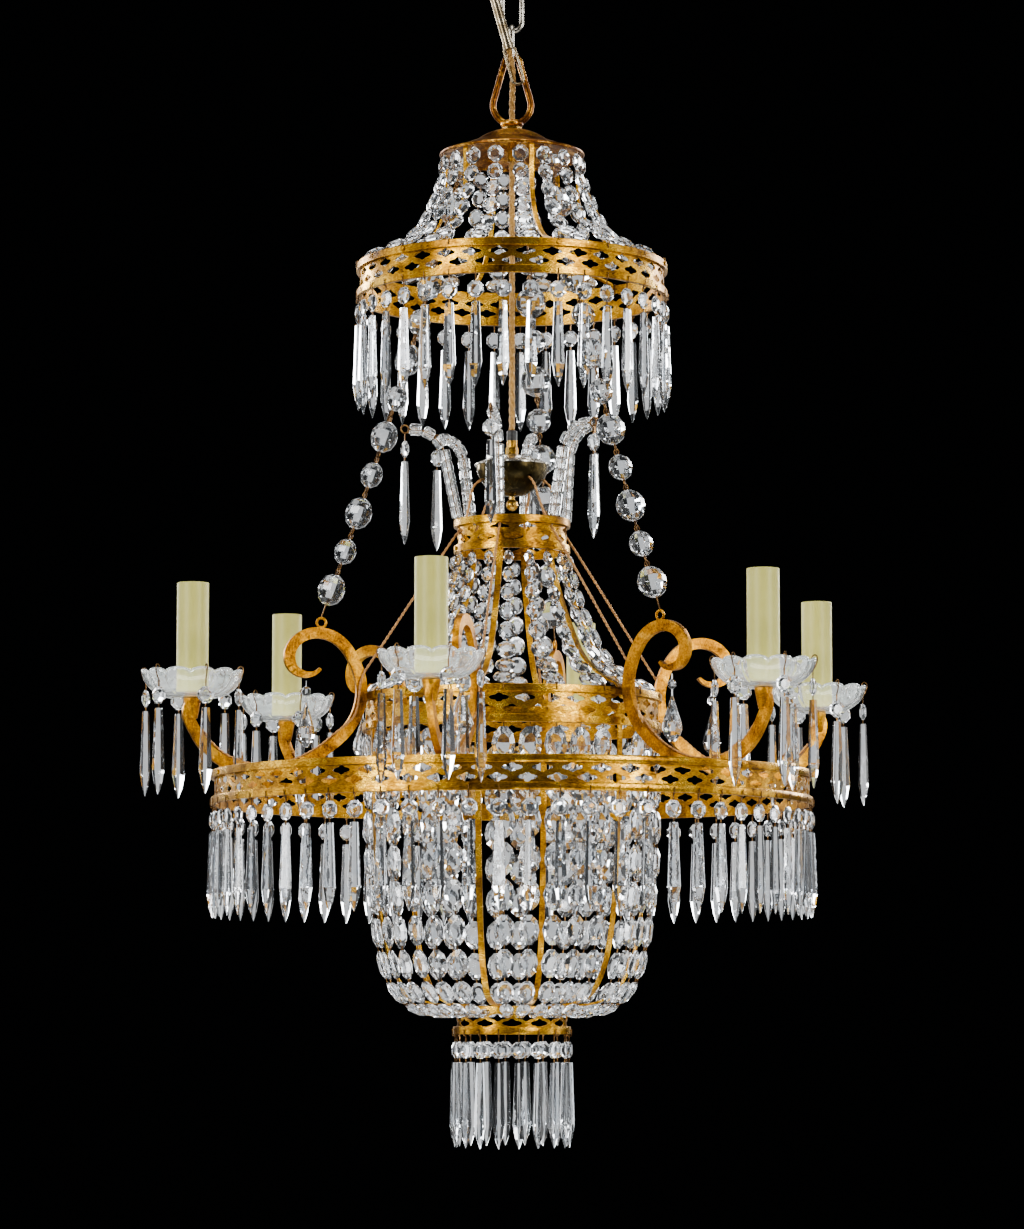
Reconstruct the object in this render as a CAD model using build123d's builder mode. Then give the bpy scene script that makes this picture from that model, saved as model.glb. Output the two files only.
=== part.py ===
from build123d import *
import os
from math import asin, cos, degrees, pi, radians, sin, tan

os.makedirs("parts", exist_ok=True)

# Six-arm crystal chandelier. Millimetres, +Z up, front towards -Y.
# The origin is the point inside the top link where the ceiling hook carries it,
# so every height is negative.

# ---- Driving dimensions -------------------------------------------------------

ARMS = 6
FIRST_ARM = -103.2                 # azimuth of the front arm, degrees from +X
SECTOR = 360 / ARMS
SEAT_GAP = 0.05                    # between pieces that touch within one body
RUNNING_GAP = 0.3                  # between curved pieces of different bodies

# suspension
LINK_WIRE = 4.0
UPPER_LINK_OPENING = (13.0, 50.0)  # width and length inside the wire
LOWER_LINK_WIDTH = 9.0
LOOP_WIRE = 5.8
LOOP_TOP = -71.0
LOOP_TOP_RADIUS = 6.5
LOOP_SIDE_RADIUS = 16.6
LOOP_EYE_RADIUS = 7.2
LOOP_LENGTH = 66.6                 # from the loop's top to its eye's underside
NIPPLE_RADIUS = 4.0
NIPPLE_LENGTH = 34.0
NUT_HEIGHT = 2.1
NUT_WIDTH = 15.0
CORD_DIAMETER = 5.5
SHEATH_DIAMETER = 8.6
SHEATH_WALL = 0.7
SHEATH_FOOT = Vector(-2.5, -13.5, -71.0)
SHEATH_HEAD = Vector(-21.5, -17.0, -4.0)
COLLAR_LENGTH = 5.0
BAIL_WIRE = 2.4
BAIL_DROP = 32.0
CONNECTOR_DIAMETER = 16.0
CONNECTOR_LENGTH = 26.0

# canopy dish
SHEET = 1.2
DOME_RADIUS = 32.0
DOME_HEIGHT = 10.5
BRIM_RADIUS = 63.5
BRIM_DROP = 12.5
LIP_DIAMETER = 3.2

# the five pierced rings: outer radius, height of the top edge, height of the ring
HANG = 912.0                       # height of the hanging point above the eye line
UPPER_RING = (135.7, 651.0 - HANG, 30.0)
CROWN_RING = (50.5, 427.0 - HANG, 29.0)
MID_RING = (129.6, 275.0 - HANG, 32.0)
LARGE_RING = (259.0, 208.0 - HANG, 29.0)
BOTTOM_RING = (50.5, 7.6 - HANG, 24.0)
HOOP_HEIGHT = 6.6
HOOP_THICKNESS = 3.0
GALLERY_THICKNESS = 0.9
OPENING_WIDTH = 17.0
OPENING_PITCH = 24.3
OPENING_ROUND = 3.8                # radius of an opening's middle
OPENING_SIDE_LOBE = 2.4            # half the height of its side lobes

# flat ribs
RIB_WIDTH = 5.0
RIB_THICKNESS = 1.6

# crystals
OCTAGON = 14.0
OCTAGON_THICKNESS = 5.6
OCTAGON_DROP = 6.4                 # wire between a hoop and its octagon
SPEAR_DROP = 3.7                   # wire between an octagon and its spear
SPEAR_LENGTH = 72.0
SPEAR_TOP = 7.4
SPEAR_BELLY = 11.8
SPEAR_BELLY_AT = 0.72
OVAL_THICKNESS = 6.4
TABLE = 0.55                       # flat front facet as a share of the outline
GIRDLE = 1.3                       # width of the rim facet
WIRE = 0.9
WIRE_GAP = 0.15                    # from a wire's end to the tilted face it holds
CAGE_STRANDS = 18
CAGE_SIZES = [(14.0, 14.0), (13.5, 15.0), (14.0, 15.5), (14.5, 16.0), (15.0, 17.0),
              (16.0, 18.0), (17.0, 18.5)]
BASKET_STRANDS = 18
BASKET_SIZES = [(8.5, 12.0), (10.0, 13.5), (12.0, 15.0), (13.5, 16.0), (14.5, 17.0),
                (16.0, 18.0), (17.0, 19.0), (18.0, 20.0)]
LOWER_POSITIONS = 36
LOWER_SIZES = [(19.0, 29.0), (19.0, 28.5), (18.5, 27.5), (18.0, 27.0), (17.5, 26.0),
               (17.0, 25.0), (16.0, 24.0), (14.0, 22.0), (11.5, 19.0), (8.8, 16.5)]
UPPER_PENDANTS = 36
LARGE_PENDANTS = 66
BOTTOM_PENDANTS = 18
PAN_PENDANTS = 6

# bead chains
CHAINS = 3
BEAD_LARGE = 27.0
BEAD_SMALL = 22.0
BEADS = 12
BEAD_FLATNESS = 0.86
CHAIN_SAG = 7.0
CHAIN_TOP_RADIUS = 41.5

# arms, flat bars set on edge
BAR_WIDTH = 9.5
BAR_THICKNESS = 5.6
BAR_TIP_WIDTH = 2.6
BAR_TAPER = 34.0                   # length of the scroll's tapered end
CUP_RADIUS = 7.8
CUP_FOOT_RADIUS = 4.6
CUP_HEIGHT = 17.0
CANDLE_CIRCLE = 282.0
CUP_TOP = 266.0 - HANG
SCROLL = [(36.6, 18.0), (48.6, 12.5), (59.6, 17.0), (63.6, 29.0), (55.6, 43.0),
          (37.6, 48.5), (19.6, 42.0), (6.6, 25.0)]  # from where the bar meets the mid ring
EYELET_RADIUS = 4.0
EYELET_WIRE = 2.2
LAMP_WIRE = 2.4
REST_HEIGHT = 6.9                  # of the bar's centre line above the large ring

# drip pans, lampholders and candle sleeves
PAN_RADIUS = 44.5
PAN_DEPTH = 23.0
PAN_WALL = 3.0
PAN_FLOOR = 17.0
PAN_SCALLOPS = 12
SCALLOP_NOTCH = 3.2
PAN_PENDANT_TURN = 34.0            # clear of the large ring
PAN_HOLE_AT = 0.72                 # share of the way up the pan's side
STEM_RADIUS = 5.0
STEM_BORE = 3.4
HOLDER_RADIUS = 11.3
HOLDER_LENGTH = 42.0
HOLDER_BORE = 7.0
HOLDER_BORE_DEPTH = 26.0
SLEEVE_RADIUS = 13.5
SLEEVE_WALL = 1.2
SLEEVE_LENGTH = 95.0
SLEEVE_ABOVE_HOLDER = 2.0

# teardrops under the scrolls
TEAR_HOOK = 5.0
TEAR_BALL = 8.4
TEAR_LENGTH = 38.0
TEAR_WIDTH = 21.0
TEAR_THICKNESS = 15.0
TEAR_LINK = 6.0

# junction bowl
BOWL_RADIUS = 31.0
BOWL_HEIGHT = 27.0
COVER_RADIUS = 32.5
COVER_HEIGHT = 10.0
BOWL_TOP = 475.0 - HANG
BOWL_HOLE = 4.0
BOWL_HOLE_BELOW = 12.0
BOWL_HOLE_TURN = -14.0
ROD_RADIUS = 2.0
RIVET_RADIUS = 2.1
RIVET_HEIGHT = 1.4
TERMINAL_BLOCK = (28.0, 15.0, 11.0)
FINIAL_DIAMETER = 10.5
BUSH_RADIUS = 5.6
BUSH_HEIGHT = 12.0
CLAMP_RADIUS = 4.6
CLAMP_HEIGHT = 9.0

# plumes of glass tubes
TUBE_DIAMETER = 10.6
TUBE_LENGTH = 9.8
TUBE_BORE = 3.6
TUBE_GAP = 0.3
STRAIGHT_TUBES = 6
CURLED_TUBES = 3
PLUME_WIRE = 1.6
PLUME_LEANS = [3.0, 11.0, 3.0, 6.0, 9.0, 12.0]     # degrees from upright, arm by arm
PLUME_CURLS = [60.0, 78.0, 52.0, 66.0, 72.0, 78.0]  # further bend of the last tubes
PLUME_EYE = 3.4

# ---- Derived places -------------------------------------------------------------


def ring_top(ring):
    return ring[1]


def ring_bottom(ring):
    return ring[1] - ring[2]


def hoop_middle(ring):
    return ring[0] - HOOP_THICKNESS / 2


ARM_AZIMUTHS = [FIRST_ARM + SECTOR * k for k in range(ARMS)]
CAGE_AZIMUTHS = [a + SECTOR / 2 for a in ARM_AZIMUTHS]
CHAIN_AZIMUTHS = ARM_AZIMUTHS[1::ARMS // CHAINS]

DOME_TOP = LOOP_TOP - LOOP_LENGTH - NUT_HEIGHT
BRIM_TOP = DOME_TOP - DOME_HEIGHT
LIP_HEIGHT = BRIM_TOP - BRIM_DROP
CAGE_TOP = LIP_HEIGHT - LIP_DIAMETER / 2

CONTACT_1 = -UPPER_LINK_OPENING[1]
CONTACT_2 = LOOP_TOP - LOOP_WIRE

# ---- Helpers ----------------------------------------------------------------------


def radial_plane(azimuth):
    """Plane through the axis: local x is the radius, local y the height."""
    a = radians(azimuth)
    return Plane(origin=(0, 0, 0), x_dir=(cos(a), sin(a), 0), z_dir=(sin(a), -cos(a), 0))


def polar(radius, azimuth, height):
    a = radians(azimuth)
    return Vector(radius * cos(a), radius * sin(a), height)


def turned(azimuth):
    return Location((0, 0, 0), (0, 0, azimuth))


def between(start, end, shares):
    """Points from start to end, by the shares of their way out and down."""
    (r0, z0), (r1, z1) = start, end
    middle = [(r0 + (r1 - r0) * u, z0 + (z1 - z0) * v) for u, v in shares]
    return [start, *middle, end]


def corner_radii(points):
    """The largest arcs that the runs on both sides of each corner allow."""
    spots = [Vector(p) for p in points]
    radii = []
    for before, corner, after in zip(spots, spots[1:], spots[2:]):
        half_turn = radians((corner - before).get_angle(after - corner)) / 2
        shorter = min((corner - before).length, (after - corner).length)
        radii.append(0.45 * shorter / tan(half_turn))
    return radii


def placed(shapes, locations):
    """Copies of the shapes at every location, as separate solids."""
    return [shape.moved(location) for location in locations for shape in shapes]


def save(name, shapes):
    """One sub-part, whose separate solids are the given ones."""
    shapes = list(shapes)
    node = shapes[0] if len(shapes) == 1 else Compound(children=shapes)
    node.label = name
    export_step(node, f"parts/{name}.step")


def outline_points(width, height, depth, sides):
    """A polygon across Y = depth with flats at its top and bottom."""
    reach = 1 / cos(pi / sides)
    turns = [2 * pi * (k + 0.5) / sides for k in range(sides)]
    return [(width / 2 * reach * sin(t), depth, height / 2 * reach * cos(t)) for t in turns]


def cut_crystal(width, height, thickness, sides):
    """A flat cut crystal: rim facets, sloping facets and a table on each face."""
    points = []
    for face in (-1, 1):
        points += outline_points(width, height, face * GIRDLE / 2, sides)
        points += outline_points(width * TABLE, height * TABLE, face * thickness / 2, sides)
    with BuildPart() as crystal:
        ConvexPolyhedron(points)
    return crystal.part


def turned_crystal(stations, sides):
    """A crystal cut round the Z axis, from (height, width, thickness) stations."""
    points = []
    for height, width, thickness in stations:
        for k in range(sides):
            t = 2 * pi * (k + 0.5) / sides
            points.append((width / 2 * cos(t), thickness / 2 * sin(t), height))
    with BuildPart() as crystal:
        ConvexPolyhedron(points)
    return crystal.part


def wire_pin(length):
    """A straight piece of wire centred on the origin along Z, short of its seats."""
    with BuildPart() as pin:
        Box(WIRE, WIRE, length - 2 * WIRE_GAP)
    return pin.part


def facing(point, along, azimuth):
    """Location whose Z runs along a strand and whose Y looks out from the axis."""
    a = radians(azimuth)
    return Location(Plane(origin=point, x_dir=(-sin(a), cos(a), 0), z_dir=along))


def strand(profile, pieces, azimuth=0.0):
    """Crystals and wires along a curve in the radial plane of an azimuth.

    The profile lists (radius, height) points and the pieces are (height, shape)
    pairs. What the pieces leave of the curve is shared as equal gaps, each held
    by a wire. Returns the crystals and the wires.
    """
    with BuildLine(radial_plane(azimuth)) as path:
        Spline(*profile)
    curve = path.wire()
    gap = (curve.length - sum(height for height, _ in pieces)) / (len(pieces) + 1)
    ends, crystals = [curve @ 0], []
    travelled = 0.0
    for height, shape in pieces:
        start = curve @ ((travelled + gap) / curve.length)
        travelled += gap + height
        stop = curve @ (travelled / curve.length)
        along = (stop - start).normalized()
        middle = (start + stop) / 2
        ends += [middle - along * height / 2, middle + along * height / 2]
        crystals.append(shape.moved(facing(middle, along, azimuth)))
    ends.append(curve @ 1)
    wires = []
    for start, stop in zip(ends[::2], ends[1::2]):
        span = stop - start
        pin = wire_pin(span.length)
        wires.append(pin.moved(facing((start + stop) / 2, span.normalized(), azimuth)))
    return crystals, wires


def hoops(ring):
    """The two flat hoops at the ring's edges."""
    radius = ring[0]
    made = []
    for low in (ring_top(ring) - HOOP_HEIGHT, ring_bottom(ring)):
        with BuildPart() as hoop:
            with BuildSketch(Plane.XZ):
                with Locations((radius - HOOP_THICKNESS / 2, low + HOOP_HEIGHT / 2)):
                    RectangleRounded(HOOP_THICKNESS, HOOP_HEIGHT, 0.5)
            revolve(axis=Axis.Z)
        made.append(hoop.part)
    return made


def gallery(ring, lengths, first=0.0):
    """The pierced strip behind the hoops, in equal lengths that meet in openings.

    The first length, and an opening of the lower row, begin at the first azimuth.
    """
    outer = ring[0] - HOOP_THICKNESS
    around = 2 * pi * outer
    per_length = max(1, round(around / (OPENING_PITCH * lengths)))
    step = 360 / (lengths * per_length)
    turn = 360 / lengths
    low, high = ring_bottom(ring), ring_top(ring)
    clear = ring[2] - 2 * HOOP_HEIGHT
    rows = [(0.0, low + HOOP_HEIGHT + clear * 0.25), (0.5, high - HOOP_HEIGHT - clear * 0.25)]
    places = []
    for shift, height in rows:
        places += [(step * (k + shift), height) for k in range(-1, per_length + 1)]
    with BuildPart() as strip:
        with BuildSketch(Plane.XY.offset(low)):
            with BuildLine():
                far = CenterArc((0, 0), outer, 0, turn)
                near = CenterArc((0, 0), outer - GALLERY_THICKNESS, 0, turn)
                Line(far @ 0, near @ 0)
                Line(far @ 1, near @ 1)
            make_face()
        extrude(amount=high - low)
        for angle, height in places:
            a = radians(angle)
            spot = Plane(origin=polar(outer - 2 * HOOP_THICKNESS, angle, height),
                         x_dir=(-sin(a), cos(a), 0), z_dir=(cos(a), sin(a), 0))
            with BuildSketch(spot):
                Ellipse(OPENING_WIDTH / 2, OPENING_SIDE_LOBE)
                Circle(OPENING_ROUND)
            extrude(amount=3 * HOOP_THICKNESS, mode=Mode.SUBTRACT)
    return placed(strip.part.solids(), [turned(first + turn * k) for k in range(lengths)])


def flat_rib(profile, azimuths, width=RIB_WIDTH):
    """Flat strips bent to a profile in the radial plane, one at each azimuth."""
    with BuildPart() as rib:
        with BuildSketch(radial_plane(0)):
            with BuildLine():
                FilletPolyline(*profile, radius=corner_radii(profile))
            trace(line_width=RIB_THICKNESS)
        extrude(amount=width / 2, both=True)
    return placed([rib.part], [turned(a) for a in azimuths])


# ---- Crystals used in many places -----------------------------------------------------

octagon = cut_crystal(OCTAGON, OCTAGON, OCTAGON_THICKNESS, 8)
spear = turned_crystal(
    [(0, SPEAR_TOP, SPEAR_TOP * 0.8),
     (-SPEAR_LENGTH * SPEAR_BELLY_AT, SPEAR_BELLY, SPEAR_BELLY * 0.8),
     (-SPEAR_LENGTH * 0.88, SPEAR_BELLY * 0.62, SPEAR_BELLY * 0.5),
     (-SPEAR_LENGTH, 0.8, 0.8)], 6)
octagon_wire = wire_pin(OCTAGON_DROP)
spear_wire = wire_pin(SPEAR_DROP)
PENDANT_DROP = OCTAGON_DROP + OCTAGON + SPEAR_DROP


def pendants(radius, seat, azimuths):
    """An octagon and a spear on wires below a seat, at every azimuth."""
    octagon_centre = seat - OCTAGON_DROP - OCTAGON / 2
    crystals, wires = [], []
    for azimuth in azimuths:
        def at(height):
            return facing(polar(radius, azimuth, height), (0, 0, 1), azimuth)
        crystals.append(octagon.moved(at(octagon_centre)))
        crystals.append(spear.moved(at(seat - PENDANT_DROP)))
        wires.append(octagon_wire.moved(at(seat - OCTAGON_DROP / 2)))
        wires.append(spear_wire.moved(at(seat - PENDANT_DROP + SPEAR_DROP / 2)))
    return crystals, wires


def evenly(count, first):
    return [first + 360 / count * k for k in range(count)]


# ---- Suspension ----------------------------------------------------------------------------


def oval_link(plane, width, length, wire, top):
    """A closed link: its opening is width by length, its inner top at a height."""
    bend = (width + wire) / 2
    with BuildPart() as link:
        with BuildLine(plane) as path:
            low = top - length + width / 2
            high = top - width / 2
            right = Line((bend, low), (bend, high))
            arch = JernArc(right @ 1, right % 1, bend, 180)
            left = Line(arch @ 1, (-bend, low))
            JernArc(left @ 1, left % 1, bend, 180)
        with BuildSketch(Plane(origin=right @ 0, z_dir=right % 0)):
            Circle(wire / 2)
        sweep(path=path.line)
    return link.part


upper_link = oval_link(Plane.XZ, *UPPER_LINK_OPENING, LINK_WIRE, 0.0)
save("upper_link", [upper_link])

lower_top = CONTACT_1 + RUNNING_GAP
lower_length = lower_top - CONTACT_2 + RUNNING_GAP
lower_link = oval_link(Plane.YZ, LOWER_LINK_WIDTH, lower_length, LINK_WIRE, lower_top)
save("lower_link", [lower_link])

# pear-shaped loop, bent round into an eye at its foot
eye_height = LOOP_TOP - LOOP_LENGTH + LOOP_WIRE / 2
crown_centre = LOOP_TOP - LOOP_WIRE / 2 - LOOP_TOP_RADIUS
side_centre = eye_height + LOOP_SIDE_RADIUS
side_lean = degrees(asin((LOOP_SIDE_RADIUS - LOOP_TOP_RADIUS) / (crown_centre - side_centre)))
foot_angle = degrees(asin(LOOP_EYE_RADIUS / LOOP_SIDE_RADIUS)) - 90
with BuildPart() as hanging_loop:
    with BuildLine(Plane.XZ) as pear:
        right = CenterArc((0, side_centre), LOOP_SIDE_RADIUS, foot_angle,
                          side_lean - foot_angle)
        crown = CenterArc((0, crown_centre), LOOP_TOP_RADIUS, side_lean,
                          180 - 2 * side_lean)
        Line(right @ 1, crown @ 0)
        left = CenterArc((0, side_centre), LOOP_SIDE_RADIUS, 180 - side_lean,
                         side_lean - foot_angle)
        Line(crown @ 1, left @ 0)
    with BuildSketch(Plane(origin=right @ 0, z_dir=right % 0)):
        Circle(LOOP_WIRE / 2)
    sweep(path=pear.line)
    with Locations((0, 0, eye_height)):
        Torus(LOOP_EYE_RADIUS, LOOP_WIRE / 2)
save("hanging_loop", [hanging_loop.part])

# sheath of the supply cord, with its collar and the wire bail on it
sheath_line = SHEATH_FOOT - SHEATH_HEAD
sheath_plane = Plane(origin=SHEATH_HEAD, z_dir=sheath_line)
with BuildPart() as cord_sheath:
    with BuildSketch(sheath_plane):
        Circle(SHEATH_DIAMETER / 2)
        Circle(SHEATH_DIAMETER / 2 - SHEATH_WALL, mode=Mode.SUBTRACT)
    extrude(amount=sheath_line.length)
    with BuildSketch(sheath_plane.offset(sheath_line.length - COLLAR_LENGTH)):
        Circle(SHEATH_DIAMETER / 2 + SHEATH_WALL)
        Circle(SHEATH_DIAMETER / 2 - SHEATH_WALL, mode=Mode.SUBTRACT)
    extrude(amount=COLLAR_LENGTH)
save("cord_sheath", [cord_sheath.part])

# wire bail fixed in the collar
bail_gap = SHEATH_DIAMETER / 2 + SHEATH_WALL
bail_side = Vector(0, 1, 0).cross(sheath_line)
bail_plane = Plane(origin=SHEATH_FOOT, x_dir=bail_side, z_dir=bail_side.cross(sheath_line))
with BuildPart() as cord_bail:
    with BuildLine(bail_plane) as bail_path:
        leg = Line((bail_gap, SEAT_GAP), (bail_gap, BAIL_DROP - bail_gap))
        bend = JernArc(leg @ 1, leg % 1, bail_gap, 180)
        Line(bend @ 1, (-bail_gap, SEAT_GAP))
    with BuildSketch(Plane(origin=leg @ 0, z_dir=leg % 0)):
        Circle(BAIL_WIRE / 2)
    sweep(path=bail_path.line)
save("cord_bail", [cord_bail.part])

# supply cord: down the sheath, through the loop's eye and down the axis
clamp_top = BOWL_TOP + COVER_HEIGHT + BUSH_HEIGHT + CLAMP_HEIGHT
sheath_way = sheath_line.normalized()
cord_route = [
    SHEATH_HEAD,
    SHEATH_FOOT + sheath_way * 4,
    Vector(1.0, -8.2, -91.0),
    Vector(0.3, -4.2, -108.0),
    Vector(-0.1, -0.8, -124.0),
    Vector(0, 0, -140.0),
    Vector(0, 0, clamp_top + SEAT_GAP),
]
cord_radii = corner_radii(cord_route)
print("supply cord radii:", [round(r, 1) for r in cord_radii])
with BuildPart() as supply_cord:
    with BuildLine() as cord_path:
        FilletPolyline(*cord_route, radius=cord_radii)
    with BuildSketch(Plane(origin=cord_route[0], z_dir=sheath_line)):
        Circle(CORD_DIAMETER / 2)
    sweep(path=cord_path.wire())
cord_length = cord_path.wire().length
cord_section = pi * (CORD_DIAMETER / 2) ** 2
print("supply cord length:", round(cord_length, 1),
      "volume ratio:", round(supply_cord.part.volume / (cord_section * cord_length), 4))
save("supply_cord", [supply_cord.part])

with BuildPart() as supply_connector:
    with BuildSketch(sheath_plane.offset(-SEAT_GAP)):
        Circle(CONNECTOR_DIAMETER / 2)
    extrude(amount=-CONNECTOR_LENGTH)
    chamfer(supply_connector.edges().filter_by(GeomType.CIRCLE), CONNECTOR_DIAMETER / 10)
save("supply_connector", [supply_connector.part])

# ---- Canopy dish and its fixings -----------------------------------------------------------

with BuildPart() as canopy_nipple:
    with BuildSketch(Plane.XY.offset(eye_height)):
        Circle(NIPPLE_RADIUS)
        Circle(NIPPLE_RADIUS - 0.9, mode=Mode.SUBTRACT)
    extrude(amount=-NIPPLE_LENGTH)
save("canopy_nipple", [canopy_nipple.part])


def hexagon_nut(top):
    with BuildPart() as nut:
        with BuildSketch(Plane.XY.offset(top - NUT_HEIGHT)):
            RegularPolygon(NUT_WIDTH / 2, 6, major_radius=False)
            Circle(NIPPLE_RADIUS + SEAT_GAP, mode=Mode.SUBTRACT)
        extrude(amount=NUT_HEIGHT)
    return nut.part


save("canopy_nuts", [hexagon_nut(DOME_TOP + NUT_HEIGHT), hexagon_nut(DOME_TOP - SHEET - 1.4)])

lip_radius = BRIM_RADIUS - LIP_DIAMETER / 2
with BuildPart() as canopy_dish:
    with BuildSketch(Plane.XZ):
        with BuildLine():
            bore = NIPPLE_RADIUS + SEAT_GAP
            sag = DOME_HEIGHT * 0.3
            Line((bore, DOME_TOP - SHEET), (bore, DOME_TOP))
            ThreePointArc((bore, DOME_TOP), (DOME_RADIUS * 0.6, DOME_TOP - sag),
                          (DOME_RADIUS, BRIM_TOP))
            Polyline((DOME_RADIUS, BRIM_TOP), (DOME_RADIUS + SHEET, BRIM_TOP - SHEET / 2),
                     (lip_radius, LIP_HEIGHT + SHEET / 2),
                     (lip_radius, LIP_HEIGHT - SHEET / 2),
                     (DOME_RADIUS, BRIM_TOP - 1.6 * SHEET),
                     (DOME_RADIUS - SHEET, BRIM_TOP - SHEET))
            ThreePointArc((DOME_RADIUS - SHEET, BRIM_TOP - SHEET),
                          (DOME_RADIUS * 0.6, DOME_TOP - sag - SHEET),
                          (bore, DOME_TOP - SHEET))
        make_face()
        with Locations((lip_radius, LIP_HEIGHT)):
            Circle(LIP_DIAMETER / 2)
    revolve(axis=Axis.Z)
save("canopy_dish", [canopy_dish.part])

# ---- Pierced rings -------------------------------------------------------------------------------

# each ring with the number of its strip's lengths and the azimuth where they start;
# the crown ring has an opening of its upper row over every arm, for the lamp wires
CROWN_STEP = SECTOR / round(2 * pi * (CROWN_RING[0] - HOOP_THICKNESS) / OPENING_PITCH / ARMS)
rings = {
    "upper": (UPPER_RING, 12, 0.0),
    "crown": (CROWN_RING, ARMS, FIRST_ARM - CROWN_STEP / 2),
    "mid": (MID_RING, 12, 0.0),
    "large": (LARGE_RING, 11, 0.0),
    "bottom": (BOTTOM_RING, ARMS, 0.0),
}
for ring_name, (ring, lengths, first) in rings.items():
    save(f"{ring_name}_hoops", hoops(ring))
    save(f"{ring_name}_gallery", gallery(ring, lengths, first))


def rib_radius(ring):
    """Where a rib lies against the inside of a ring's pierced strip."""
    return ring[0] - HOOP_THICKNESS - GALLERY_THICKNESS - RIB_THICKNESS / 2 - SEAT_GAP


# ---- Upper cage: ribs and strands from the canopy to the upper ring ---------------------

cage_rib_top = (lip_radius - LIP_DIAMETER, LIP_HEIGHT - SHEET / 3)
cage_rib_foot = (rib_radius(UPPER_RING), ring_top(UPPER_RING) - HOOP_HEIGHT)
cage_rib = between(cage_rib_top, cage_rib_foot,
                   [(0.0, 0.42), (0.16, 0.66), (0.5, 0.86), (1.0, 0.93)])
save("upper_ribs", flat_rib(cage_rib, CAGE_AZIMUTHS, width=RIB_WIDTH * 0.8))

cage_start = (lip_radius, CAGE_TOP)
cage_end = (hoop_middle(UPPER_RING), ring_top(UPPER_RING) + WIRE / 2)
cage_profile = between(cage_start, cage_end, [(-0.012, 0.11), (0.085, 0.37), (0.237, 0.617),
                                              (0.333, 0.731), (0.665, 0.887)])
cage_cuts = [(CAGE_SIZES[0][1], octagon)]
cage_cuts += [(h, cut_crystal(w, h, OVAL_THICKNESS, 10)) for w, h in CAGE_SIZES[1:]]
cage_crystals, cage_wires = strand(cage_profile, cage_cuts)
cage_turns = [turned(a) for a in evenly(CAGE_STRANDS, CAGE_AZIMUTHS[0] + 180 / CAGE_STRANDS)]
save("upper_crystals", placed(cage_crystals, cage_turns))
wires = placed(cage_wires, cage_turns)

# ---- Upper basket: from the crown ring out to the mid ring ----------------------------------

basket_shares = [(0.076, 0.203), (0.164, 0.382), (0.291, 0.577), (0.442, 0.756),
                 (0.708, 0.894)]
basket_start = (hoop_middle(CROWN_RING), ring_bottom(CROWN_RING))
basket_end = (hoop_middle(MID_RING), ring_top(MID_RING) + WIRE / 2)
basket_cuts = [(h, cut_crystal(w, h, OVAL_THICKNESS, 10)) for w, h in BASKET_SIZES]
basket_crystals, basket_wires = strand(between(basket_start, basket_end, basket_shares),
                                       basket_cuts)
basket_turns = [turned(a) for a in evenly(BASKET_STRANDS, ARM_AZIMUTHS[0] + 180 / BASKET_STRANDS)]
save("basket_crystals", placed(basket_crystals, basket_turns))
wires += placed(basket_wires, basket_turns)

basket_rib_top = (rib_radius(CROWN_RING), ring_bottom(CROWN_RING) + HOOP_HEIGHT)
basket_rib_foot = (rib_radius(MID_RING), ring_top(MID_RING) - HOOP_HEIGHT)
basket_rib = between(basket_rib_top, basket_rib_foot,
                     [(-0.004, 0.06), (0.03, 0.17), (0.14, 0.35), (0.30, 0.56), (0.45, 0.73),
                      (0.70, 0.86),
                      (0.985, 0.93)])
save("basket_ribs", flat_rib(basket_rib, ARM_AZIMUTHS))

# ---- Lower basket: from the mid ring down and in to the bottom ring --------------------------

lower_shares = [(0.04, 0.364), (0.053, 0.494), (0.104, 0.633), (0.143, 0.746),
                (0.22, 0.855), (0.349, 0.948), (0.53, 0.994), (0.749, 1.018)]
lower_start = (hoop_middle(MID_RING), ring_bottom(MID_RING))
lower_end = (BOTTOM_RING[0], ring_top(BOTTOM_RING) - HOOP_HEIGHT / 2)
lower_cuts = [(h, cut_crystal(w, h, OVAL_THICKNESS, 10)) for w, h in LOWER_SIZES]
lower_crystals, lower_wires = strand(between(lower_start, lower_end, lower_shares), lower_cuts)
per_sector = LOWER_POSITIONS // ARMS
lower_step = SECTOR / per_sector
lower_turns = [turned(a + lower_step * k) for a in ARM_AZIMUTHS for k in range(1, per_sector)]
save("lower_crystals", placed(lower_crystals, lower_turns))
wires += placed(lower_wires, lower_turns)

lower_rib_top = (rib_radius(MID_RING), ring_bottom(MID_RING) + HOOP_HEIGHT)
lower_rib_foot = (hoop_middle(BOTTOM_RING), ring_top(BOTTOM_RING) + RIB_THICKNESS / 2 + SEAT_GAP)
lower_rib = between(lower_rib_top, lower_rib_foot,
                    [(0.02, 0.30), (0.05, 0.52), (0.12, 0.72), (0.22, 0.86), (0.42, 0.965),
                     (0.72, 0.999)])
save("lower_ribs", flat_rib(lower_rib, ARM_AZIMUTHS))

# ---- Pendants of the three rings that carry them -------------------------------------------------


for name, ring, count in (("upper_pendants", UPPER_RING, UPPER_PENDANTS),
                          ("large_pendants", LARGE_RING, LARGE_PENDANTS),
                          ("bottom_pendants", BOTTOM_RING, BOTTOM_PENDANTS)):
    crystals, hooks = pendants(hoop_middle(ring), ring_bottom(ring), evenly(count, FIRST_ARM))
    save(name, crystals)
    wires += hooks

# ---- Junction bowl on the end of the cord -----------------------------------------------------------

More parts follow.
